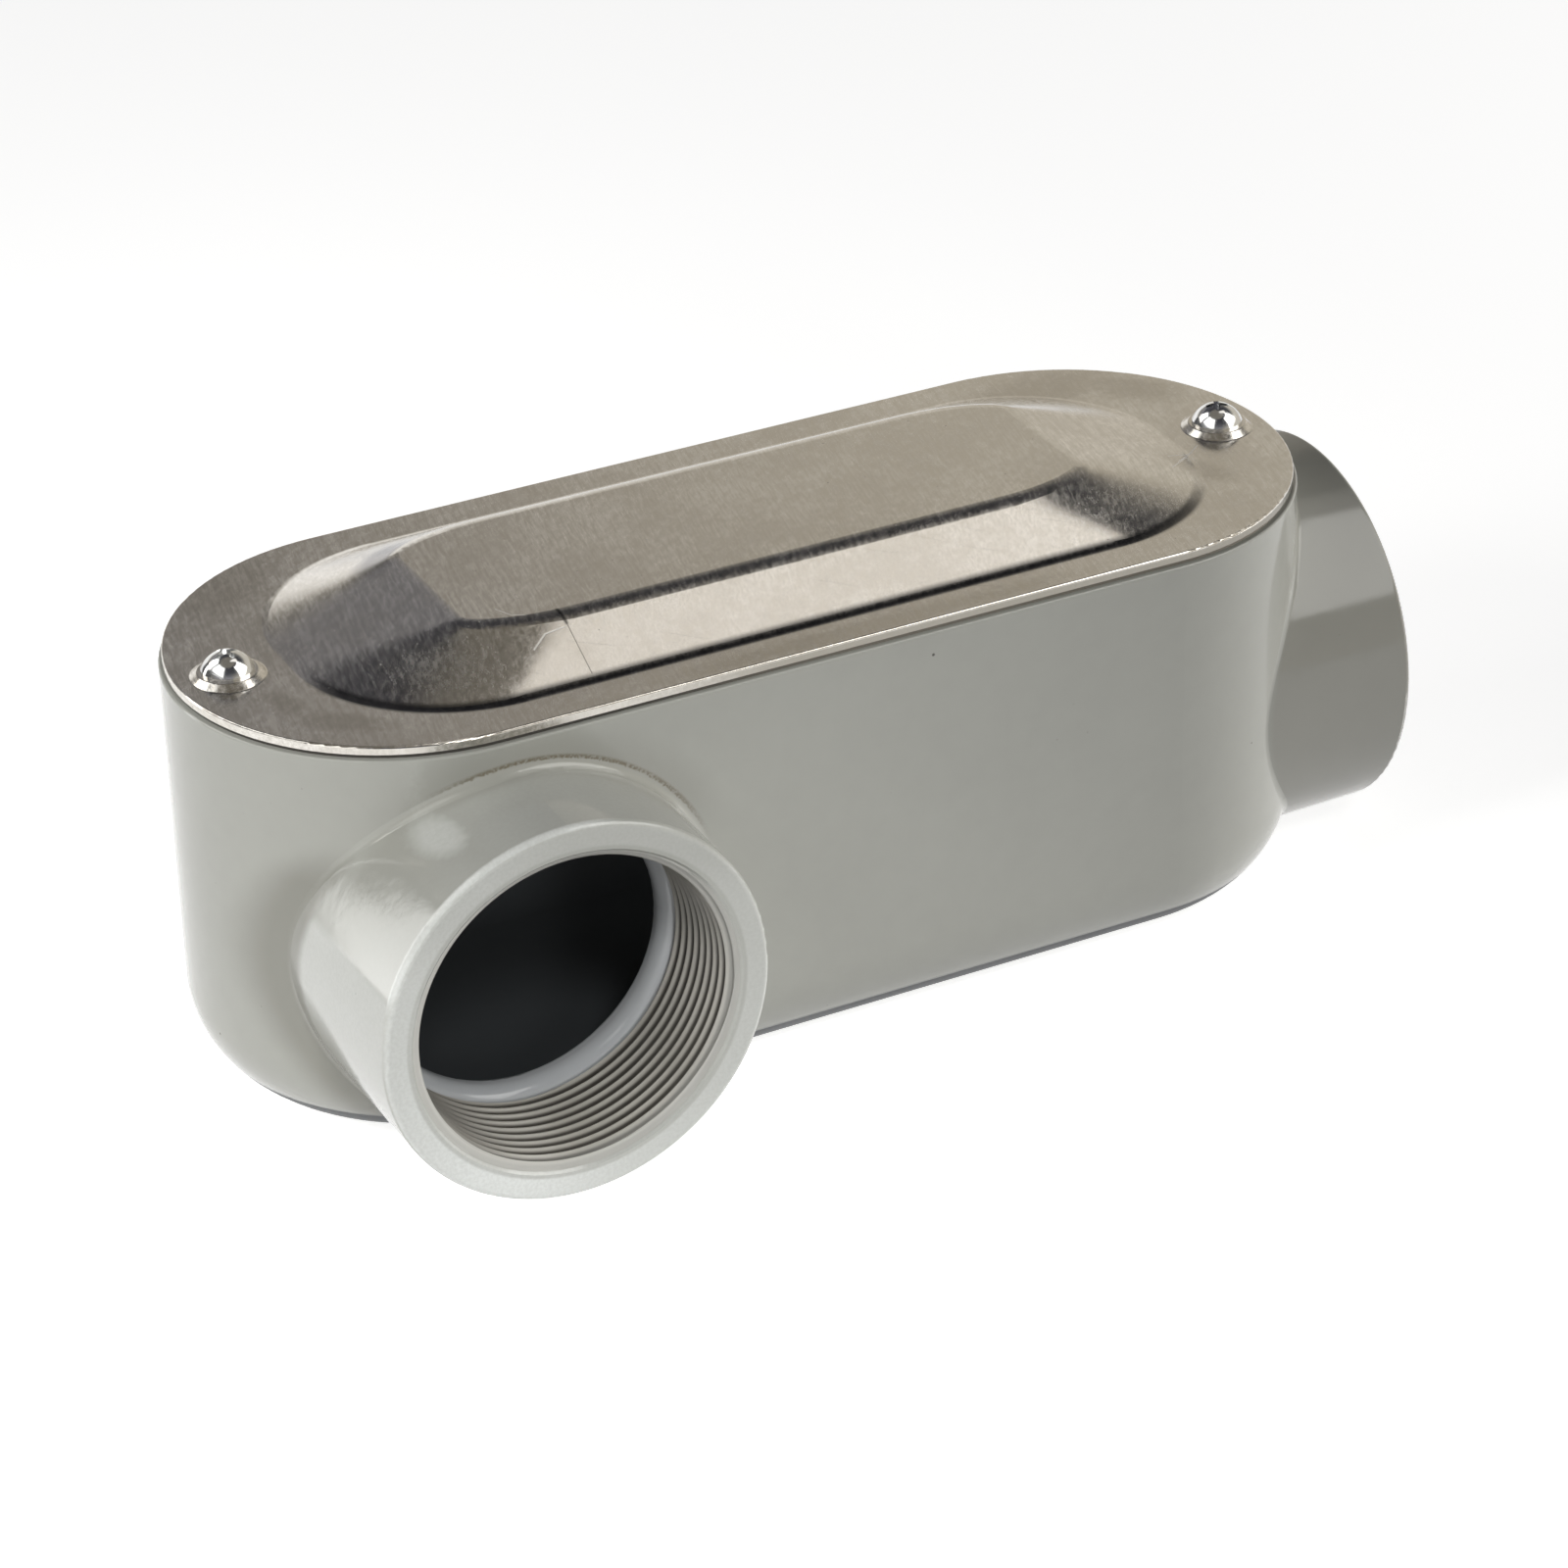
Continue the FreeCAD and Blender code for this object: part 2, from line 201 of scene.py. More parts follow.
def tone_ramp(tree, share, full, stops):
    """Colours or grey values strung along a share of a full length."""
    node = put(tree, "ShaderNodeValToRGB", {"Fac": share})
    ramp = node.color_ramp
    while len(ramp.elements) < len(stops):
        ramp.elements.new(0.5)
    for element, (at, tint) in zip(ramp.elements, stops):
        element.position = at / full
    for element, (at, tint) in zip(ramp.elements, stops):
        element.color = rgb(tint, tint, tint) if isinstance(tint, float) else rgb(*tint)
    return node.outputs["Color"]


def new_group(name, inputs, output):
    """A shader node group with named inputs and one named output."""
    tree = bpy.data.node_groups.new(name, "ShaderNodeTree")
    for label, value in inputs.items():
        kind = "NodeSocketVector" if value is None else "NodeSocketFloat"
        socket = tree.interface.new_socket(name=label, in_out="INPUT", socket_type=kind)
        if value is not None:
            socket.default_value = value
    tree.interface.new_socket(name=output, in_out="OUTPUT", socket_type="NodeSocketFloat")
    ins = tree.nodes.new("NodeGroupInput")
    outs = tree.nodes.new("NodeGroupOutput")
    return tree, ins.outputs, outs.inputs[output]


def use_group(tree, group, **inputs):
    """Place a group and give the socket that it puts out."""
    node = put(tree, "ShaderNodeGroup", node_tree=group)
    for name, value in inputs.items():
        feed(tree, node.inputs[name.replace("_", " ")], value)
    return node.outputs[0]


def specks_group():
    """Small round spots, such as pinholes in paint and pits in sheet."""
    tree, ins, mask = new_group("specks", {"Place": None, "Spacing": 8.0, "Size": 0.1, "Share": 0.5}, "Mask")
    scaled = scale(tree, ins["Place"], calc(tree, "DIVIDE", 1.0, ins["Spacing"]))
    cells = put(tree, "ShaderNodeTexVoronoi", {"Vector": scaled, "Scale": 1.0})
    chance, other, size = split(tree, cells.outputs["Color"])
    shown = calc(tree, "LESS_THAN", chance, ins["Share"])
    radius = product(tree, ins["Size"], calc(tree, "ADD", 0.4, size))
    spot = fade(tree, cells.outputs["Distance"], radius, product(tree, radius, 0.5))
    tree.links.new(product(tree, spot, shown), mask)
    return tree


def mottle_group():
    """Soft uneven patches in two sizes."""
    tree, ins, value = new_group("mottle", {"Place": None, "Coarse": 0.05, "Fine": 0.6}, "Value")
    broad = noise(tree, ins["Place"], ins["Coarse"], 3.0)
    narrow = noise(tree, ins["Place"], ins["Fine"], 4.0)
    tree.links.new(calc(tree, "ADD", product(tree, broad, 0.6), product(tree, narrow, 0.4)), value)
    return tree


def scratches_group():
    """Fine straight marks that run one way, broken into lengths."""
    tree, ins, mask = new_group("scratches", {"Place": None, "Turn": 0.0, "Spacing": 1.0, "Length": 12.0,
                                              "Width": 0.05, "Share": 0.3}, "Mask")
    turned = turned_in_plan(tree, ins["Place"], ins["Turn"])
    wander = noise(tree, turned, 0.05, 1.0)
    along, across, up = split(tree, turned)
    across = calc(tree, "ADD", across, product(tree, wander, 3.0))
    lane = calc(tree, "DIVIDE", across, ins["Spacing"])
    lane_number = calc(tree, "FLOOR", lane)
    lane_noise = put(tree, "ShaderNodeTexWhiteNoise", {"W": lane_number}, noise_dimensions="1D")
    shifted = calc(tree, "ADD", calc(tree, "DIVIDE", along, ins["Length"]),
                   product(tree, lane_noise.outputs["Value"], 17.0))
    cell = calc(tree, "ADD", product(tree, lane_number, 7.31), calc(tree, "FLOOR", shifted))
    chance = put(tree, "ShaderNodeTexWhiteNoise", {"W": cell}, noise_dimensions="1D")
    shown = calc(tree, "LESS_THAN", chance.outputs["Value"], ins["Share"])
    taper = calc(tree, "SINE", product(tree, calc(tree, "FRACT", shifted), math.pi))
    offset = calc(tree, "ABSOLUTE", calc(tree, "SUBTRACT", calc(tree, "FRACT", lane), 0.5))
    half = product(tree, calc(tree, "DIVIDE", ins["Width"], ins["Spacing"]), taper)
    line = put(tree, "ShaderNodeMapRange", {"Value": offset, "From Min": half, "From Max": 0.0})
    tree.links.new(product(tree, line.outputs["Result"], shown), mask)
    return tree


def grain_group():
    """Rolled grain of sheet metal, drawn out one way."""
    tree, ins, height = new_group("rolled grain", {"Place": None, "Turn": 0.0, "Fine": 3.0, "Stretch": 12.0},
                                  "Height")
    along, across, up = split(tree, turned_in_plan(tree, ins["Place"], ins["Turn"]))
    drawn = put(tree, "ShaderNodeCombineXYZ",
                {"X": calc(tree, "DIVIDE", along, ins["Stretch"]), "Y": across, "Z": up})
    tree.links.new(noise(tree, drawn.outputs[0], ins["Fine"], 4.0, 0.65), height)
    return tree


def stroke_group():
    """One thin straight mark between two points of a level sheet."""
    tree, ins, mask = new_group("stroke", {"Place": None, "Start": None, "End": None, "Width": 0.2}, "Mask")
    flat = vector_calc(tree, "MULTIPLY", ins["Place"], (1.0, 1.0, 0.0))
    reach = vector_calc(tree, "SUBTRACT", flat, ins["Start"])
    way = vector_calc(tree, "SUBTRACT", ins["End"], ins["Start"])
    share = calc(tree, "DIVIDE", vector_calc(tree, "DOT_PRODUCT", reach, way),
                 vector_calc(tree, "DOT_PRODUCT", way, way))
    share = calc(tree, "MINIMUM", calc(tree, "MAXIMUM", share, 0.0), 1.0)
    away = vector_calc(tree, "DISTANCE", reach, scale(tree, way, share))
    tree.links.new(fade(tree, away, ins["Width"], 0.0), mask)
    return tree


def patch_group():
    """A soft-edged oval patch of a level sheet, broken up inside."""
    tree, ins, mask = new_group("worn patch", {"Place": None, "Centre": None, "Turn": 0.0, "Reach": 10.0,
                                               "Breadth": 4.0, "Ragged": 1.2}, "Mask")
    moved = vector_calc(tree, "SUBTRACT", ins["Place"], ins["Centre"])
    along, across, up = split(tree, turned_in_plan(tree, moved, product(tree, ins["Turn"], -1.0)))
    away = length_of(tree, calc(tree, "DIVIDE", along, ins["Reach"]),
                     calc(tree, "DIVIDE", across, ins["Breadth"]))
    torn = calc(tree, "SUBTRACT", noise(tree, ins["Place"], 0.8, 5.0, 0.7), 0.5)
    ragged = calc(tree, "ADD", away, product(tree, torn, ins["Ragged"]))
    tree.links.new(fade(tree, ragged, 1.15, 0.35), mask)
    return tree


def outline_group():
    """Signed distance in plan from a long outline with round corners, negative inside it."""
    tree, ins, distance = new_group("round outline", {"Place": None, "Half length": 80.0, "Half width": 30.0,
                                                      "Corner": 20.0}, "Distance")
    x, y, z = split(tree, ins["Place"])
    straight_x = calc(tree, "SUBTRACT", ins["Half length"], ins["Corner"])
    straight_y = calc(tree, "SUBTRACT", ins["Half width"], ins["Corner"])
    past_x = calc(tree, "SUBTRACT", calc(tree, "ABSOLUTE", x), straight_x)
    past_y = calc(tree, "SUBTRACT", calc(tree, "ABSOLUTE", y), straight_y)
    outside = length_of(tree, calc(tree, "MAXIMUM", past_x, 0.0), calc(tree, "MAXIMUM", past_y, 0.0))
    inside = calc(tree, "MINIMUM", calc(tree, "MAXIMUM", past_x, past_y), 0.0)
    tree.links.new(calc(tree, "SUBTRACT", calc(tree, "ADD", outside, inside), ins["Corner"]), distance)
    return tree


SPECKS = specks_group()
MOTTLE = mottle_group()
SCRATCHES = scratches_group()
GRAIN = grain_group()
STROKE = stroke_group()
PATCH = patch_group()
OUTLINE = outline_group()


# Finishes

def new_material(name):
    """A material, its tree, its shader and the place on the object in millimetres."""
    material = bpy.data.materials.new(name)
    material.use_nodes = True
    tree = material.node_tree
    place = put(tree, "ShaderNodeTexCoord").outputs["Object"]
    return material, tree, tree.nodes["Principled BSDF"], scale(tree, place, 1.0 / MM)


def add_bump(tree, shader, height, strength, depth):
    """Bump from a height, with its depth in millimetres."""
    bump = put(tree, "ShaderNodeBump", {"Height": height, "Strength": strength, "Distance": depth * MM})
    tree.links.new(bump.outputs["Normal"], shader.inputs["Normal"])


def patches(tree, place, marks, ragged):
    """Oval patches, each given by its centre, its turn in degrees, its reach and its breadth."""
    return any_of(tree, *[use_group(tree, PATCH, Place=place, Centre=centre, Turn=math.radians(turn),
                                    Reach=reach, Breadth=breadth, Ragged=ragged)
                          for centre, turn, reach, breadth in marks])


def strokes(tree, place, marks):
    """Thin marks, each given by its start, its end and its width."""
    return any_of(tree, *[use_group(tree, STROKE, Place=place, Start=(*start, 0.0), End=(*end, 0.0),
                                    Width=width)
                          for start, end, width in marks])


ENAMEL_TONES = (rgb(0.365, 0.368, 0.338), rgb(0.420, 0.424, 0.392))
END_HUB_TINT_AND_SHADE = rgb(0.32, 0.31, 0.275)
SECOND_COAT_AND_PAINTED_LIGHT = rgb(0.82, 0.845, 0.83)
PINHOLE = rgb(0.09, 0.085, 0.075)
ROOT_SHADE = rgb(0.19, 0.185, 0.155)
ROOT_CREASE_SHADE = rgb(0.17, 0.145, 0.10)
CHAMBER_PAINTED_SHADE = rgb(0.050, 0.055, 0.060)
LIP_PAINTED_LIGHT = rgb(0.50, 0.52, 0.54)

# Thickness of the second coat on the side hub's face, by angle from +X round towards the cover; its rise
# towards the lower left is painted light.
FACE_COAT_AND_PAINTED_LIGHT = ((0.0, 0.39), (25.0, 0.33), (50.0, 0.44), (90.0, 0.43), (120.0, 0.64), (150.0, 0.58),
             (180.0, 0.62), (210.0, 0.79), (235.0, 0.98), (255.0, 0.93), (285.0, 0.64), (320.0, 0.50),
             (360.0, 0.39))
# The hub with its draft, and the fillet round its root, by radius.
ON_HUB = HUB_RADIUS + 1.5
HUB_FILLET = HUB_RADIUS + 3.5
# Painted highlight: a pale spot on top of the side hub.
TOP_PAINTED_HIGHLIGHT = (((-79.5, -47.0, 68.5), -80.0, 8.6, 4.2),)


def second_coat_and_painted_light(tree, place, from_side_axis, from_middle):
    """How far a lighter second coat hides the first on the side hub, most of all on its face. Painted light
    is mixed in: a painted reflection on the flank, painted highlights in the spot on top and on the face's
    outer edge, and a face brighter where light falls.
    """
    x, y, z = split(tree, place)
    on_hub = calc(tree, "LESS_THAN", from_side_axis, ON_HUB)
    near_hub = fade(tree, from_side_axis, HUB_FILLET + 1.5, HUB_FILLET)

    outside = product(tree, on_hub, fade(tree, y, SIDE_ROOT_Y, SIDE_MOUTH_Y, 0.0, 0.15))
    # Painted reflection on the near flank, with a sharp top where the reflected card ends.
    flank = product(tree, fade(tree, x, SIDE_HUB_X - 18.0, SIDE_HUB_X - 30.0),
                    fade(tree, z, HUB_HEIGHT + 13.0, HUB_HEIGHT + 10.5),
                    fade(tree, z, HUB_HEIGHT - 14.0, HUB_HEIGHT + 4.0, 0.08, 0.36), near_hub,
                    fade(tree, from_middle, BODY_RADIUS + 1.6, BODY_RADIUS + 3.6))
    top = product(tree, fade(tree, x, SIDE_HUB_X - 21.0, SIDE_HUB_X - 9.0, 0.0, 0.20),
                  fade(tree, z, HUB_HEIGHT + 6.0, HUB_HEIGHT + 20.0), near_hub,
                  fade(tree, from_middle, BODY_RADIUS + 1.0, BODY_RADIUS + 4.0))
    # Painted highlight: the pale spot on top.
    spot = product(tree, patches(tree, place, TOP_PAINTED_HIGHLIGHT, 0.5),
                   calc(tree, "GREATER_THAN", z, HUB_HEIGHT + 20.0), 0.5)
    around = share_of_turn(tree, calc(tree, "SUBTRACT", z, HUB_HEIGHT), calc(tree, "SUBTRACT", x, SIDE_HUB_X))
    # The face's second coat, brighter by angle as painted light.
    face = product(tree, on_hub, fade(tree, y, SIDE_MOUTH_Y + 0.9, SIDE_MOUTH_Y + 0.2),
                   tone_ramp(tree, around, 360.0, FACE_COAT_AND_PAINTED_LIGHT),
                   fade(tree, from_side_axis, BORE_RADIUS + 0.9, BORE_RADIUS + 1.5, 0.45, 1.0))
    # Painted highlight on the rounded outer edge of the face.
    edge = product(tree, fade(tree, from_side_axis, HUB_RADIUS - 1.1, HUB_RADIUS - 0.4),
                   fade(tree, y, SIDE_MOUTH_Y + 1.9, SIDE_MOUTH_Y + 1.0), on_hub,
                   fade(tree, z, HUB_HEIGHT + 4.0, HUB_HEIGHT + 16.0),
                   fade(tree, x, SIDE_HUB_X + 14.0, SIDE_HUB_X, 0.0, 0.9))
    uneven = fade(tree, noise(tree, place, 1.6, 3.0), 0.3, 0.7, 0.88, 1.08)
    return product(tree, any_of(tree, outside, edge, flank, top, spot, face), uneven)


def root_shades(tree, place, from_side_axis, from_middle):
    """Painted shade round the side hub's root, and a ragged dark brown line of painted shade in the crease
    along its top.
    """
    x, y, z = split(tree, place)
    upper = product(tree, fade(tree, z, HUB_HEIGHT + 12.0, HUB_HEIGHT + 26.0),
                    fade(tree, y, SIDE_ROOT_Y + 9.0, SIDE_ROOT_Y + 1.0))
    # Painted shade: a soft darkening of the wall above the hub.
    above = product(tree, fade(tree, from_side_axis, HUB_RADIUS + 10.0, HUB_RADIUS + 2.0, 0.0, 0.28), upper)
    # Painted shade: a darker band in the fillet at the hub's left root.
    behind = product(tree, fade(tree, x, SIDE_HUB_X - 12.0, SIDE_HUB_X - 28.0),
                     fade(tree, z, HUB_HEIGHT + 26.0, HUB_HEIGHT + 16.0),
                     fade(tree, from_side_axis, HUB_RADIUS + 8.0, HUB_RADIUS + 2.5, 0.0, 0.62),
                     fade(tree, from_middle, BODY_RADIUS + 3.4, BODY_RADIUS + 1.2))
    # Ragged dark brown line of painted shade in the crease of the hub's root, along its top.
    torn = noise(tree, place, 1.6, 4.0)
    edge_at = calc(tree, "ADD", from_side_axis, product(tree, torn, 0.8))
    edge = product(tree, fade(tree, edge_at, HUB_RADIUS + 2.0, HUB_RADIUS + 2.3),
                   fade(tree, edge_at, HUB_RADIUS + 3.2, HUB_RADIUS + 2.6),
                   fade(tree, torn, 0.35, 0.6, 0.25, 0.9),
                   fade(tree, x, SIDE_HUB_X - 18.0, SIDE_HUB_X - 4.0), upper)
    return calc(tree, "MAXIMUM", above, behind), edge


def enamel():
    material, tree, shader, place = new_material("grey_enamel")
    x, y, z = split(tree, place)
    past = calc(tree, "MAXIMUM", calc(tree, "SUBTRACT", calc(tree, "ABSOLUTE", x), HALF_STRAIGHT), 0.0)
    from_middle = distance_from(tree, past, 0.0, y, 0.0)
    from_side_axis = distance_from(tree, x, SIDE_HUB_X, z, HUB_HEIGHT)
    from_end_axis = distance_from(tree, y, 0.0, z, HUB_HEIGHT)

    mottle = use_group(tree, MOTTLE, Place=place, Coarse=0.03, Fine=0.25)
    colour = blend(tree, mottle, *ENAMEL_TONES)
    dust = use_group(tree, SPECKS, Place=place, Spacing=3.0, Size=0.05, Share=0.25)
    pinholes = use_group(tree, SPECKS, Place=place, Spacing=11.0, Size=0.035, Share=0.45)
    colour = blend(tree, any_of(tree, product(tree, dust, 0.25), pinholes), colour, PINHOLE)
    # Second coat on the side hub, with painted highlights and a painted reflection in it.
    colour = blend(tree, second_coat_and_painted_light(tree, place, from_side_axis, from_middle), colour, SECOND_COAT_AND_PAINTED_LIGHT)
    # The end hub gets a warmer, darker tone: partly its paint, partly painted shade where the body shadows
    # it.
    on_end_hub = product(tree, calc(tree, "GREATER_THAN", x, HALF_STRAIGHT),
                         calc(tree, "LESS_THAN", from_end_axis, HUB_RADIUS + 3.0),
                         fade(tree, from_middle, BODY_RADIUS + 0.1, BODY_RADIUS + 0.9))
    colour = blend(tree, product(tree, on_end_hub, 0.5), colour, END_HUB_TINT_AND_SHADE)
    # Painted shade round the hub's root, and a dark line of painted shade in the crease along its top.
    shade, crease_shade = root_shades(tree, place, from_side_axis, from_middle)
    colour = blend(tree, shade, colour, ROOT_SHADE)
    colour = blend(tree, crease_shade, colour, ROOT_CREASE_SHADE)

    # The chamber inside the walls gets painted shade, a near-black colour over its grey paint, but for the
    # smooth lips of the two bores.
    inside = fade(tree, from_middle, CHAMBER_RADIUS + 0.4, CHAMBER_RADIUS - 0.2)
    side_bore = product(tree, calc(tree, "LESS_THAN", from_side_axis, BORE_RADIUS + 0.4),
                        calc(tree, "LESS_THAN", y, SIDE_LIP_END_Y))
    end_bore = product(tree, calc(tree, "LESS_THAN", from_end_axis, BORE_RADIUS + 0.4),
                       calc(tree, "GREATER_THAN", x, END_LIP_END_X))
    rim = calc(tree, "GREATER_THAN", z, RIM_HEIGHT - 0.1)
    bores = any_of(tree, side_bore, end_bore)
    dark = product(tree, inside, calc(tree, "SUBTRACT", 1.0, any_of(tree, rim, bores)),
                   calc(tree, "GREATER_THAN", z, CHAMBER_FLOOR))
    colour = blend(tree, dark, colour, CHAMBER_PAINTED_SHADE)
    # Painted light: the smooth lips of the bores get a paler, bluish tone.
    lip_light = product(tree, bores, fade(tree, y, SIDE_LIP_START_Y - 0.5, SIDE_LIP_START_Y + 0.5))
    colour = blend(tree, lip_light, colour, LIP_PAINTED_LIGHT)
    tree.links.new(colour, shader.inputs["Base Color"])

    peel = noise(tree, place, 0.55, 2.0)
    add_bump(tree, shader, calc(tree, "SUBTRACT", peel, product(tree, pinholes, 1.5)), 0.12, 0.12)
    rough = fade(tree, mottle, 0.3, 0.7, 0.09, 0.14)
    rough = calc(tree, "ADD", rough, product(tree, dark, 0.4))
    tree.links.new(rough, shader.inputs["Roughness"])
    return material


CREST_TONE = rgb(0.56, 0.54, 0.49)
THREAD_ROOT_SHADE = rgb(0.040, 0.036, 0.030)
THREAD_STAIN = rgb(0.16, 0.15, 0.13)
THREAD_SHADE_TONE = rgb(0.11, 0.105, 0.095)
MOUTH_TONE = rgb(0.60, 0.60, 0.57)

# Painted shade in the thread, by angle from +X round towards the cover.
THREAD_SHADE = ((0.0, 0.22), (20.0, 0.38), (45.0, 0.68), (90.0, 0.62), (180.0, 0.60), (225.0, 0.62),
                (250.0, 0.12), (290.0, 0.0), (315.0, 0.28), (340.0, 0.12), (360.0, 0.22))


def thread_enamel():
    material, tree, shader, place = new_material("cut_thread")
    x, y, z = split(tree, place)
    radius = distance_from(tree, x, 0.0, y, 0.0)
    untapered = calc(tree, "ADD", radius, product(tree, z, TAPER))
    # Painted shade: the thread's roots and lower flanks go near black.
    root = fade(tree, untapered, CREST_RADIUS + 0.12, ROOT_RADIUS - 0.55)
    mottle = use_group(tree, MOTTLE, Place=place, Coarse=0.15, Fine=1.2)
    colour = blend(tree, root, CREST_TONE, THREAD_ROOT_SHADE)
    colour = blend(tree, product(tree, mottle, 0.35), colour, THREAD_STAIN)
    # Painted shade by angle round the bore.
    around = share_of_turn(tree, product(tree, y, -1.0), x)
    colour = blend(tree, tone_ramp(tree, around, 360.0, THREAD_SHADE), colour, THREAD_SHADE_TONE)
    # The paint of the face runs a little way into the first turns.
    colour = blend(tree, fade(tree, z, 4.0, 0.9, 0.0, 0.75), colour, MOUTH_TONE)
    tree.links.new(colour, shader.inputs["Base Color"])
    tree.links.new(fade(tree, root, 0.0, 1.0, 0.26, 0.6), shader.inputs["Roughness"])
    add_bump(tree, shader, use_group(tree, GRAIN, Place=place, Fine=2.5, Stretch=1.0), 0.25, 0.1)
    return material


SHEET_TONES = (rgb(0.595, 0.57, 0.528), rgb(0.780, 0.755, 0.715))
SHEET_CLOUD = rgb(0.565, 0.535, 0.485)
PIT_DARK = rgb(0.22, 0.20, 0.18)
BEND_PAINTED_SHADE = rgb(0.03, 0.03, 0.034)
STAIN_TONE = rgb(0.36, 0.33, 0.28)
SLOPE_SHADE_TONE = rgb(0.29, 0.285, 0.29)
EDGE_SHADE_TONE = rgb(0.31, 0.29, 0.25)
SCORE_DARK = rgb(0.05, 0.048, 0.045)
NICK_BRIGHT = rgb(0.80, 0.78, 0.74)

# Directions in degrees that the sheet was rolled, rubbed and scratched in.
ROLLED = -78.5
RUBBED = -38.0
SCRATCHED = 22.0
SCORED = -70.0
NICKED = (15.0, 55.0, 100.0, 150.0)

# Marks on the cover, in millimetres along and across it: start, end, width.
DARK_STROKES = (((-44.0, -18.3), (-43.9, -21.6), 0.55), ((-43.9, -21.0), (-43.9, -31.0), 0.13))
BRIGHT_STROKES = (((-51.3, -24.6), (-48.3, -22.5), 0.30), ((-48.3, -22.5), (-44.6, -22.2), 0.25),
                  ((-53.0, -13.0), (-51.6, -16.2), 0.16), ((-51.6, -16.2), (-49.5, -17.4), 0.16),
                  ((89.0, -5.2), (82.0, -10.6), 0.28), ((86.6, -7.4), (80.8, -8.6), 0.20),
                  ((84.4, -9.0), (79.0, -13.2), 0.18))
# Patches on the cover: centre, turn in degrees, reach, breadth.
SCUFFS = (((-66.0, -21.5, 0.0), -32.0, 13.0, 7.0), ((64.0, -23.8, 0.0), 4.0, 13.0, 5.0))
STAINS = (((-84.0, 30.0, 0.0), 40.0, 16.0, 7.0), ((-86.0, -25.0, 0.0), -40.0, 9.0, 4.0),
          ((-92.0, -14.0, 0.0), -70.0, 6.0, 3.0), ((6.0, -38.0, 0.0), 0.0, 46.0, 3.4),
          ((72.0, 28.0, 0.0), 10.0, 26.0, 9.0), ((91.0, 22.0, 0.0), -50.0, 12.0, 6.0),
          ((84.0, -14.0, 0.0), -60.0, 9.0, 4.0))
# Painted shade: a bluish dark patch on the panel's slope.
SLOPE_SHADE_PATCH = (((-61.0, 16.5, 0.0), 36.0, 9.0, 4.6),)


def bend_shade(tree, flat, top):
    """Painted shade: a dark line in the bend at the front of the panel's foot."""
    x, y, z = split(tree, flat)
    foot = use_group(tree, OUTLINE, Place=flat, Half_length=PANEL_HALF_LENGTH, Half_width=PANEL_HALF_WIDTH,
                     Corner=PANEL_CORNER)
    from_bend = calc(tree, "ABSOLUTE", calc(tree, "ADD", foot, 0.2))
    return product(tree, fade(tree, from_bend, 1.7, 0.5), fade(tree, y, -6.0, -16.0, 0.0, 0.78), top,
                   fade(tree, x, 84.0, 74.0))


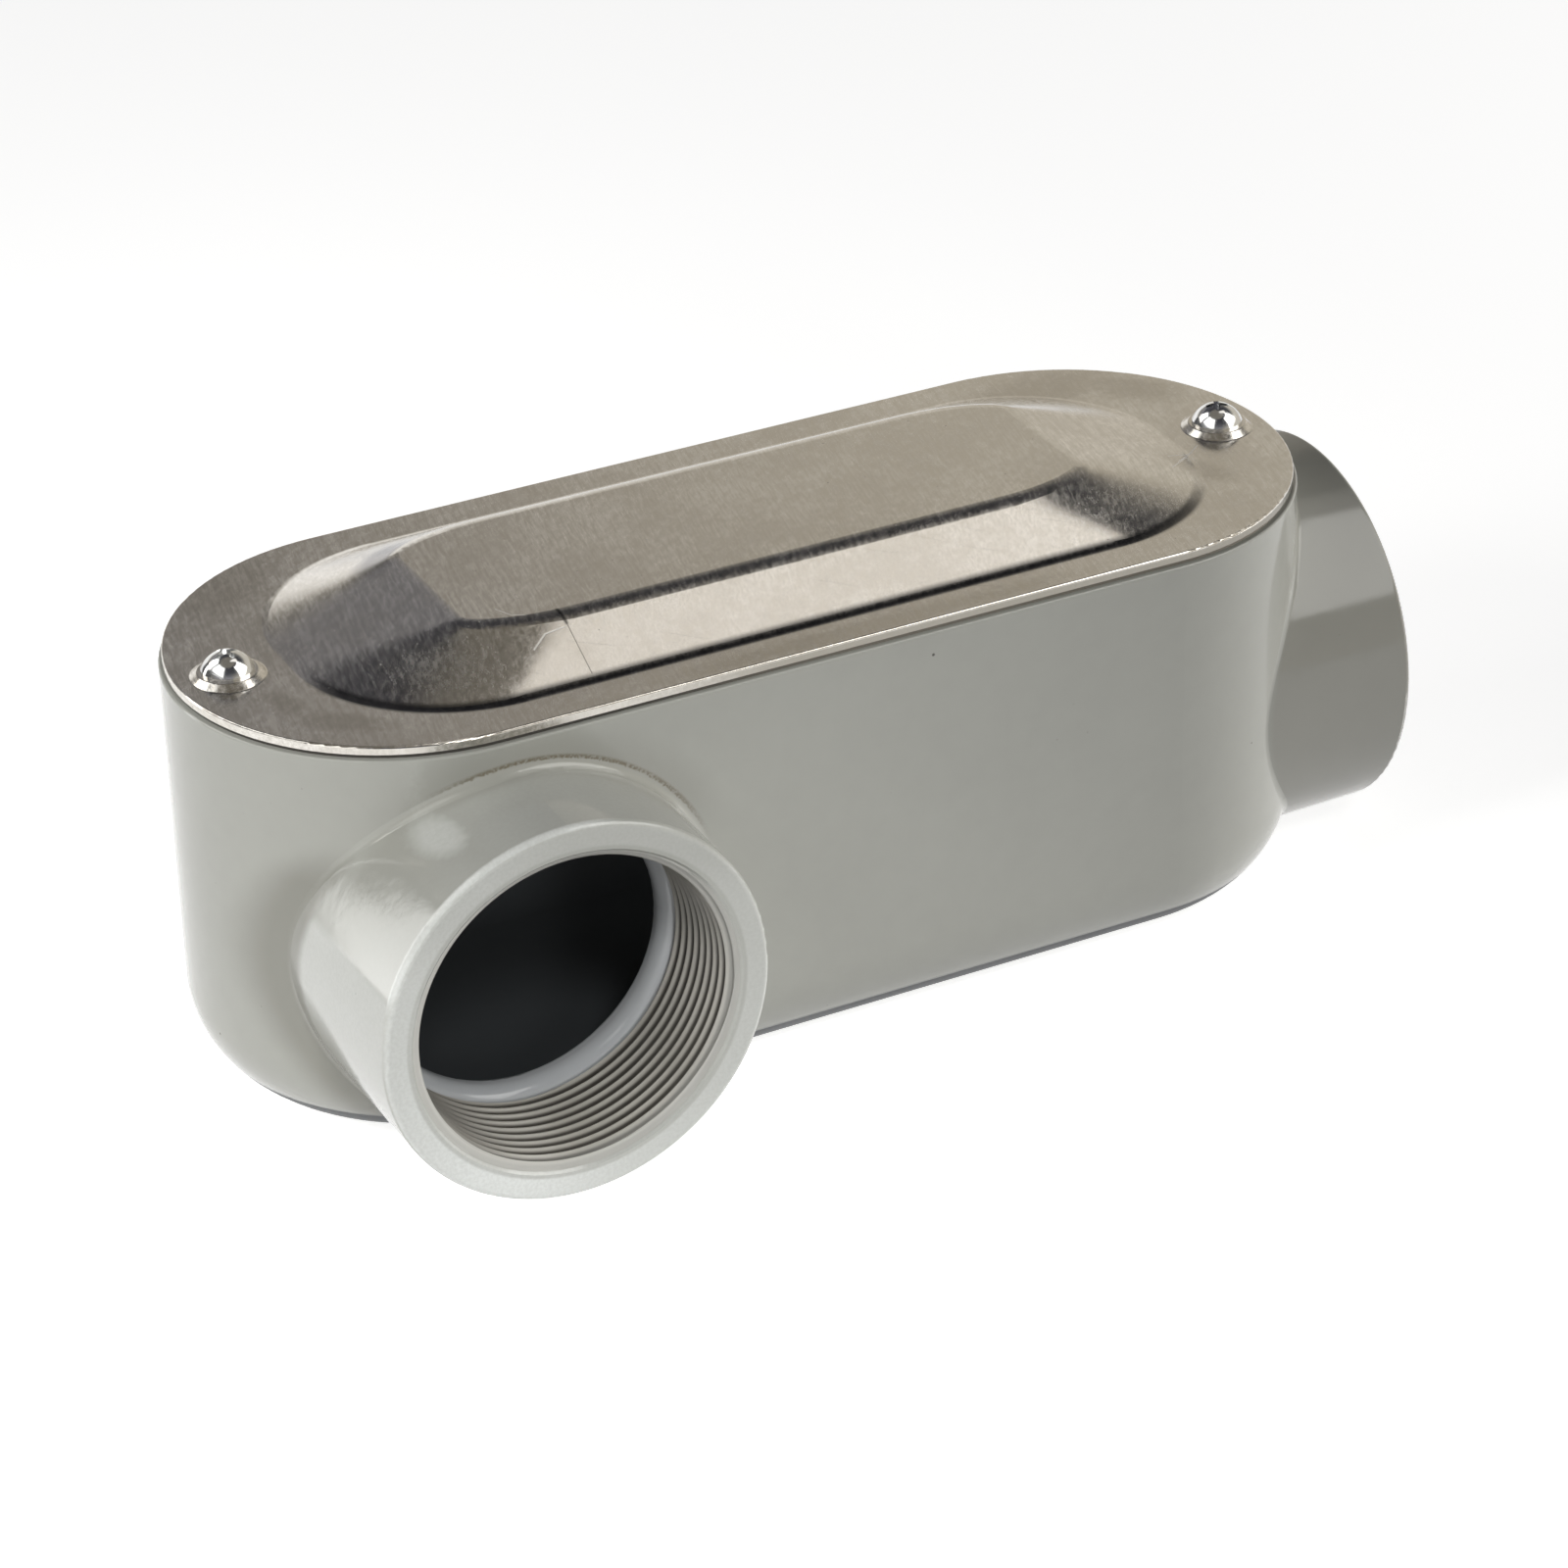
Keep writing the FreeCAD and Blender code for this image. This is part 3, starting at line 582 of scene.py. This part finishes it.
def sheet_aluminium():
    material, tree, shader, place = new_material("sheet_aluminium")
    x, y, z = split(tree, place)
    flat = vector_calc(tree, "MULTIPLY", place, (1.0, 1.0, 0.0))
    top = calc(tree, "GREATER_THAN", z, COVER_TOP - 0.2)
    grain = use_group(tree, GRAIN, Place=place, Turn=math.radians(ROLLED), Fine=1.5, Stretch=8.0)
    cross = use_group(tree, GRAIN, Place=place, Turn=math.radians(RUBBED), Fine=0.9, Stretch=3.0)
    fine = calc(tree, "ADD", product(tree, grain, 0.65), product(tree, cross, 0.35))
    mottle = use_group(tree, MOTTLE, Place=place, Coarse=0.06, Fine=0.45)
    pits = use_group(tree, SPECKS, Place=place, Spacing=2.2, Size=0.07, Share=0.3)
    holes = use_group(tree, SPECKS, Place=place, Spacing=14.0, Size=0.03, Share=0.5)
    marks = use_group(tree, SCRATCHES, Place=place, Turn=math.radians(SCRATCHED), Spacing=1.7, Length=9.0,
                      Width=0.05, Share=0.12)
    scored = use_group(tree, SCRATCHES, Place=place, Turn=math.radians(SCORED), Spacing=2.6, Length=6.0,
                       Width=0.06, Share=0.16)
    worn = product(tree, patches(tree, flat, SCUFFS, 1.2), top)
    nicks = any_of(tree, *[use_group(tree, SCRATCHES, Place=place, Turn=math.radians(turn), Spacing=0.8,
                                     Length=4.5, Width=0.035, Share=0.12) for turn in NICKED])
    bright = any_of(tree, product(tree, nicks, worn, 0.2), product(tree, scored, 0.12),
                    product(tree, strokes(tree, place, BRIGHT_STROKES), 0.9))
    bright = product(tree, bright, top)
    dark = any_of(tree, product(tree, strokes(tree, place, DARK_STROKES), 0.85), holes)
    dark = product(tree, dark, top)
    stained = product(tree, patches(tree, flat, STAINS, 1.0), top, 0.40)
    # Painted shade on the slope below the panel's top.
    slope_shade = product(tree, patches(tree, flat, SLOPE_SHADE_PATCH, 0.25), 0.85,
                   fade(tree, z, PANEL_TOP, PANEL_TOP - 0.25))
    # Painted shade: the lower part of the sheet's cut edge darkened, more towards +X.
    edge_shade = product(tree, fade(tree, z, COVER_TOP - 0.25, COVER_TOP - 0.50),
                       fade(tree, x, -52.0, -8.0, 0.12, 0.9))

    colour = blend(tree, fade(tree, fine, 0.38, 0.62), *SHEET_TONES)
    colour = blend(tree, fade(tree, mottle, 0.40, 0.60, 0.0, 0.5), colour, SHEET_CLOUD)
    for mask, tone in ((product(tree, pits, 0.6), PIT_DARK), (bend_shade(tree, flat, top), BEND_PAINTED_SHADE),
                       (stained, STAIN_TONE), (slope_shade, SLOPE_SHADE_TONE), (edge_shade, EDGE_SHADE_TONE),
                       (dark, SCORE_DARK), (bright, NICK_BRIGHT)):
        colour = blend(tree, mask, colour, tone)
    tree.links.new(colour, shader.inputs["Base Color"])
    metal = calc(tree, "SUBTRACT", 1.0, product(tree, bright, 0.85))
    tree.links.new(metal, shader.inputs["Metallic"])
    rough = fade(tree, fine, 0.35, 0.65, 0.14, 0.25)
    rough = calc(tree, "ADD", rough, product(tree, pits, 0.3))
    rough = calc(tree, "ADD", rough, product(tree, worn, 0.07))
    tree.links.new(rough, shader.inputs["Roughness"])
    cuts = calc(tree, "ADD", product(tree, pits, 0.8), any_of(tree, marks, bright, dark))
    add_bump(tree, shader, calc(tree, "SUBTRACT", fine, cuts), 0.06, 0.08)
    return material


RUBBER_TONES = (rgb(0.045, 0.042, 0.038), rgb(0.080, 0.074, 0.066))
RUBBER_PALE = rgb(0.26, 0.24, 0.205)


def gasket_rubber():
    material, tree, shader, place = new_material("gasket_rubber")
    x, y, z = split(tree, place)
    mottle = use_group(tree, MOTTLE, Place=place, Coarse=0.1, Fine=1.5)
    colour = blend(tree, mottle, *RUBBER_TONES)
    # The gasket turns paler towards +X.
    colour = blend(tree, fade(tree, x, -50.0, 5.0, 0.0, 0.8), colour, RUBBER_PALE)
    tree.links.new(colour, shader.inputs["Base Color"])
    tree.links.new(fade(tree, mottle, 0.3, 0.7, 0.6, 0.8), shader.inputs["Roughness"])
    add_bump(tree, shader, mottle, 0.3, 0.05)
    return material


ZINC_TONES = (rgb(0.70, 0.71, 0.72), rgb(0.84, 0.84, 0.83))
SCREW_SCRATCHED = 60.0


def plated_steel():
    material, tree, shader, place = new_material("plated_steel")
    mottle = use_group(tree, MOTTLE, Place=place, Coarse=0.4, Fine=3.0)
    marks = use_group(tree, SCRATCHES, Place=place, Turn=math.radians(SCREW_SCRATCHED), Spacing=0.35,
                      Length=1.6, Width=0.03, Share=0.2)
    tree.links.new(blend(tree, mottle, *ZINC_TONES), shader.inputs["Base Color"])
    shader.inputs["Metallic"].default_value = 1.0
    tree.links.new(fade(tree, mottle, 0.35, 0.65, 0.08, 0.16), shader.inputs["Roughness"])
    add_bump(tree, shader, calc(tree, "SUBTRACT", mottle, marks), 0.15, 0.03)
    return material


# Pipe thread

def thread_radius(depth, turn):
    """Radius of the cut thread at a depth in the bore. turn is the helix's phase there."""
    phase = abs(2.0 * (turn - math.floor(turn)) - 1.0)
    ridge = smooth((phase - ROOT_FLAT) / FLANK_RISE)
    lead_in = smooth((depth - THREAD_START) / LEAD_IN)
    run_out = smooth((THREAD_END - depth) / RUN_OUT)
    cut = (CREST_RADIUS - ROOT_RADIUS) * ridge - TAPER * depth
    return BORE_RADIUS - THREAD_SKIN + (ROOT_RADIUS - BORE_RADIUS + cut) * lead_in * run_out


def thread_column(form, share, row_count):
    """Points down the bore at one share of a turn, starting a turn early so that the helix closes."""
    angle = 2.0 * math.pi * share
    column = []
    for row in range(-THREAD_ROWS, row_count):
        depth = THREAD_START + THREAD_PITCH * (share + row / THREAD_ROWS)
        depth = min(max(depth, THREAD_START), THREAD_END)
        radius = thread_radius(depth, (depth - THREAD_START) / THREAD_PITCH - share)
        column.append(form.verts.new(
            (radius * math.cos(angle) * MM, radius * math.sin(angle) * MM, depth * MM)))
    return column


def thread(name, mouth, inward, side):
    """Turns of pipe thread in a bore, as one closed sleeve. Its own z axis runs into the bore."""
    form = bmesh.new()
    turns = (THREAD_END - THREAD_START) / THREAD_PITCH
    row_count = int(math.ceil((turns + 1.0) * THREAD_ROWS)) + 1
    columns = [thread_column(form, step / THREAD_STEPS, row_count) for step in range(THREAD_STEPS)]
    # The last column meets the first one turn further down.
    columns.append(columns[0][THREAD_ROWS:])
    for first, second in zip(columns, columns[1:]):
        for row in range(len(second) - 1):
            form.faces.new((first[row], second[row], second[row + 1], first[row + 1]))
    bmesh.ops.remove_doubles(form, verts=form.verts[:], dist=SAME_POINT)
    bmesh.ops.dissolve_degenerate(form, dist=SAME_POINT, edges=form.edges[:])

    # The back of the sleeve, inside the hub's wall.
    ends = [edge for edge in form.edges if edge.is_boundary]
    made = bmesh.ops.extrude_edge_only(form, edges=ends)["geom"]
    for vert in [item for item in made if isinstance(item, bmesh.types.BMVert)]:
        flat = Vector((vert.co.x, vert.co.y, 0.0)).normalized() * THREAD_SLEEVE * MM
        vert.co = Vector((flat.x, flat.y, vert.co.z))
    bmesh.ops.bridge_loops(form, edges=[edge for edge in form.edges if edge.is_boundary])
    bmesh.ops.recalc_face_normals(form, faces=form.faces[:])

    mesh = bpy.data.meshes.new(name)
    form.to_mesh(mesh)
    form.free()
    mesh.shade_smooth()
    mesh.set_sharp_from_angle(angle=math.radians(50.0))
    piece = add_object(name, mesh)
    turn = Matrix((side, inward.cross(side), inward)).transposed()
    piece.matrix_world = Matrix.Translation(mouth) @ turn.to_4x4()
    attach(piece, "root")
    return piece


# Studio, in metres

def make_camera():
    data = bpy.data.cameras.new("camera")
    data.lens = CAMERA_LENS
    data.sensor_width = SENSOR
    camera = add_object("camera", data)
    forward = CAMERA_RIGHT.cross(CAMERA_DOWN)
    turn = Matrix((CAMERA_RIGHT, -CAMERA_DOWN, -forward)).transposed()
    camera.matrix_world = Matrix.Translation(CAMERA_AT) @ turn.to_4x4()
    bpy.context.scene.camera = camera


def seen_directly(tree):
    """One for the rays that show a background: camera, glossy and transmission rays."""
    rays = put(tree, "ShaderNodeLightPath")
    return any_of(tree, rays.outputs["Is Camera Ray"], rays.outputs["Is Glossy Ray"],
                  rays.outputs["Is Transmission Ray"])


WORLD_LIGHT = 0.05


def make_world():
    world = bpy.data.worlds.new("studio")
    bpy.context.scene.world = world
    world.use_nodes = True
    tree = world.node_tree
    background = tree.nodes["Background"]
    background.inputs["Color"].default_value = rgb(1.0, 1.0, 1.0)
    strength = fade(tree, seen_directly(tree), 0.0, 1.0, WORLD_LIGHT, 1.0)
    tree.links.new(strength, background.inputs["Strength"])


FLOOR_HALF_SIZE = 6.0
FLOOR_DROP = 0.0002
FLOOR_LIFT = 0.75


def make_floor():
    mesh = bpy.data.meshes.new("floor")
    form = bmesh.new()
    bmesh.ops.create_grid(form, x_segments=2, y_segments=2, size=FLOOR_HALF_SIZE)
    form.to_mesh(mesh)
    form.free()
    floor = add_object("floor", mesh)
    floor.location = (0.0, 0.0, -FLOOR_DROP)
    material = bpy.data.materials.new("white_table")
    material.use_nodes = True
    tree = material.node_tree
    shader = tree.nodes["Principled BSDF"]
    shader.inputs["Base Color"].default_value = rgb(0.80, 0.80, 0.80)
    shader.inputs["Roughness"].default_value = 0.9
    shader.inputs["Specular IOR Level"].default_value = 0.0
    shader.inputs["Emission Color"].default_value = rgb(1.0, 1.0, 1.0)
    tree.links.new(product(tree, seen_directly(tree), FLOOR_LIFT), shader.inputs["Emission Strength"])
    material.cycles.emission_sampling = "NONE"
    mesh.materials.append(material)


def reflector(name, mesh, finish):
    """Stage piece that glows and is seen only in reflections. Gives its tree and its emission node."""
    item = add_object(name, mesh)
    item.visible_camera = False
    item.visible_diffuse = False
    item.visible_shadow = False
    item.visible_transmission = False
    item.visible_volume_scatter = False
    material = bpy.data.materials.new(finish)
    material.use_nodes = True
    tree = material.node_tree
    tree.nodes.remove(tree.nodes["Principled BSDF"])
    glow = put(tree, "ShaderNodeEmission", {"Strength": 1.0})
    tree.links.new(glow.outputs[0], tree.nodes["Material Output"].inputs["Surface"])
    material.cycles.emission_sampling = "NONE"
    mesh.materials.append(material)
    return tree, glow


DOME_RADIUS = 4.0

# Patches of the dome: azimuth from +Y towards +X, then height, in degrees, then brightness.
SOFTBOXES = (
    (-80.0, -26.0, 3.0, 26.0, (0.10, 0.10, 0.10)),
    (-60.0, -34.0, 29.0, 37.0, (3.6, 3.4, 3.1)),
    (-60.0, -30.0, 36.0, 58.0, (3.0, 3.0, 2.9)),
    (-135.0, -72.0, 36.0, 64.0, (1.8, 1.8, 1.75)),
    (-180.0, 180.0, 68.0, 90.0, (0.20, 0.185, 0.16)),
    (73.0, 97.0, 58.0, 78.0, (1.20, 1.15, 1.08)),
    (97.0, 146.0, 26.0, 58.0, (4.1, 4.05, 3.9)),
)
SOFTBOX_EDGE = 3.0

# Backdrop and ceiling behind the object, by height in degrees, and where the two halves join.
BACKDROP_LEFT = ((0.0, (1.15, 1.14, 1.12)), (14.0, (1.10, 1.08, 1.05)), (19.0, (0.50, 0.48, 0.44)),
                 (24.0, (0.19, 0.178, 0.16)), (33.0, (0.29, 0.285, 0.30)), (41.0, (0.09, 0.09, 0.10)),
                 (52.0, (0.055, 0.055, 0.064)), (90.0, (0.05, 0.05, 0.055)))
BACKDROP_RIGHT = ((0.0, (0.63, 0.58, 0.50)), (20.0, (0.64, 0.60, 0.52)), (28.0, (0.60, 0.555, 0.47)),
                  (34.0, (0.27, 0.255, 0.23)), (42.0, (0.08, 0.08, 0.085)), (52.0, (0.045, 0.045, 0.05)),
                  (90.0, (0.05, 0.05, 0.055)))
BACKDROP_JOIN = (14.0, 30.0)


def in_degrees(tree, angle):
    return product(tree, angle, 180.0 / math.pi)


def make_dome():
    """Dark studio ceiling over a paler backdrop, with softboxes on it."""
    mesh = bpy.data.meshes.new("ceiling")
    form = bmesh.new()
    bmesh.ops.create_uvsphere(form, u_segments=48, v_segments=24, radius=DOME_RADIUS)
    below = [vert for vert in form.verts if vert.co.z < -MM]
    bmesh.ops.delete(form, geom=below, context="VERTS")
    form.to_mesh(mesh)
    form.free()
    tree, glow = reflector("ceiling", mesh, "studio_ceiling")
    place = put(tree, "ShaderNodeTexCoord").outputs["Object"]
    x, y, z = split(tree, vector_calc(tree, "NORMALIZE", place))
    azimuth = in_degrees(tree, calc(tree, "ARCTAN2", x, y))
    height = in_degrees(tree, calc(tree, "ARCSINE", z))
    share = calc(tree, "DIVIDE", height, 90.0)
    colour = blend(tree, fade(tree, azimuth, *BACKDROP_JOIN), tone_ramp(tree, share, 90.0, BACKDROP_LEFT),
                   tone_ramp(tree, share, 90.0, BACKDROP_RIGHT))
    for low, high, bottom, top, tint in SOFTBOXES:
        box = product(tree, band(tree, azimuth, low, high, SOFTBOX_EDGE),
                      band(tree, height, bottom, top, SOFTBOX_EDGE))
        colour = blend(tree, box, colour, rgb(*tint))
    tree.links.new(colour, glow.inputs["Color"])


# White card behind the near end: its distance and facing, and its outline as offset and height.
CARD_DISTANCE = 0.26
CARD_AWAY = Vector((-0.602, 0.799, 0.0))
CARD_SIDEWAYS = Vector((0.799, 0.602, 0.0))
CARD_OUTLINE = ((-0.135, 0.0), (-0.100, 0.0), (-0.100, 0.110), (-0.084, 0.175), (-0.135, 0.175))
CARD_TONE = rgb(1.0, 1.0, 0.98)
CARD_STRENGTH = 4.4


def make_card():
    corners = [CARD_AWAY * CARD_DISTANCE + CARD_SIDEWAYS * offset + Vector((0.0, 0.0, height))
               for offset, height in CARD_OUTLINE]
    mesh = bpy.data.meshes.new("white_card")
    mesh.from_pydata(corners, [], [tuple(range(len(corners)))])
    tree, glow = reflector("white_card", mesh, "lit_card")
    glow.inputs["Color"].default_value = CARD_TONE
    glow.inputs["Strength"].default_value = CARD_STRENGTH


COOL_WHITE = (1.0, 0.995, 0.975)
WARM_WHITE = (1.0, 0.98, 0.95)
SIDE_HUB_AIM = (-0.06, -0.055, 0.03)
BODY_AIM = (0.0, 0.0, 0.04)
BEAM_SOURCE = 0.16

# Soft round beams: place, aim, spread in degrees, power.
BEAMS = {
    "key_light": ((-0.25, -1.05, 1.00), SIDE_HUB_AIM, 15.0, 42.0),
    "front_light": ((-0.25, -1.25, 0.50), SIDE_HUB_AIM, 15.0, 24.0),
    "table_light": ((-0.50, 0.45, 0.80), (-0.20, 0.10, 0.0), 11.0, 42.0),
}
# Area lamps that face the body: place, size, power, colour.
AREA_LAMPS = {
    "near_softbox": ((-0.55, -0.15, 0.45), (0.2, 0.2), 1.2, COOL_WHITE),
    "left_softbox": ((-1.0, 0.02, 0.40), (0.6, 0.5), 3.0, COOL_WHITE),
    "right_softbox": ((1.2, -0.21, 0.12), (0.3, 0.2), 11.5, WARM_WHITE),
}


def hang_lamp(name, data, at, aim):
    """Hang a lamp that lights the object and isn't seen in its gloss."""
    lamp = add_object(name, data)
    way = Vector(aim) - Vector(at)
    lamp.matrix_world = Matrix.Translation(Vector(at)) @ way.to_track_quat("-Z", "Y").to_matrix().to_4x4()
    lamp.visible_glossy = False


def make_lamps():
    for name, (at, aim, spread, power) in BEAMS.items():
        data = bpy.data.lights.new(name, "SPOT")
        data.energy = power
        data.color = COOL_WHITE
        data.shadow_soft_size = BEAM_SOURCE
        data.spot_size = math.radians(spread)
        data.spot_blend = 1.0
        hang_lamp(name, data, at, aim)
    for name, (at, size, power, colour) in AREA_LAMPS.items():
        data = bpy.data.lights.new(name, "AREA")
        data.shape = "RECTANGLE"
        data.size, data.size_y = size
        data.energy = power
        data.color = colour
        hang_lamp(name, data, at, BODY_AIM)


make_camera()
make_world()
make_floor()
make_dome()
make_card()
make_lamps()

FINISHES = {"housing": enamel(), "gasket": gasket_rubber(), "cover": sheet_aluminium(),
            "cover_screws": plated_steel()}
for name, finish in FINISHES.items():
    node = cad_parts[name]
    node.data.materials.clear()
    node.data.materials.append(finish)

thread_finish = thread_enamel()
side_thread = thread("side_thread", Vector((SIDE_HUB_X, SIDE_MOUTH_Y, HUB_HEIGHT)) * MM,
                     Vector((0.0, 1.0, 0.0)), Vector((1.0, 0.0, 0.0)))
end_thread = thread("end_thread", Vector((END_MOUTH_X, 0.0, HUB_HEIGHT)) * MM,
                    Vector((-1.0, 0.0, 0.0)), Vector((0.0, 1.0, 0.0)))
for piece in (side_thread, end_thread):
    piece.data.materials.append(thread_finish)

bpy.context.scene.view_settings.view_transform = "Standard"
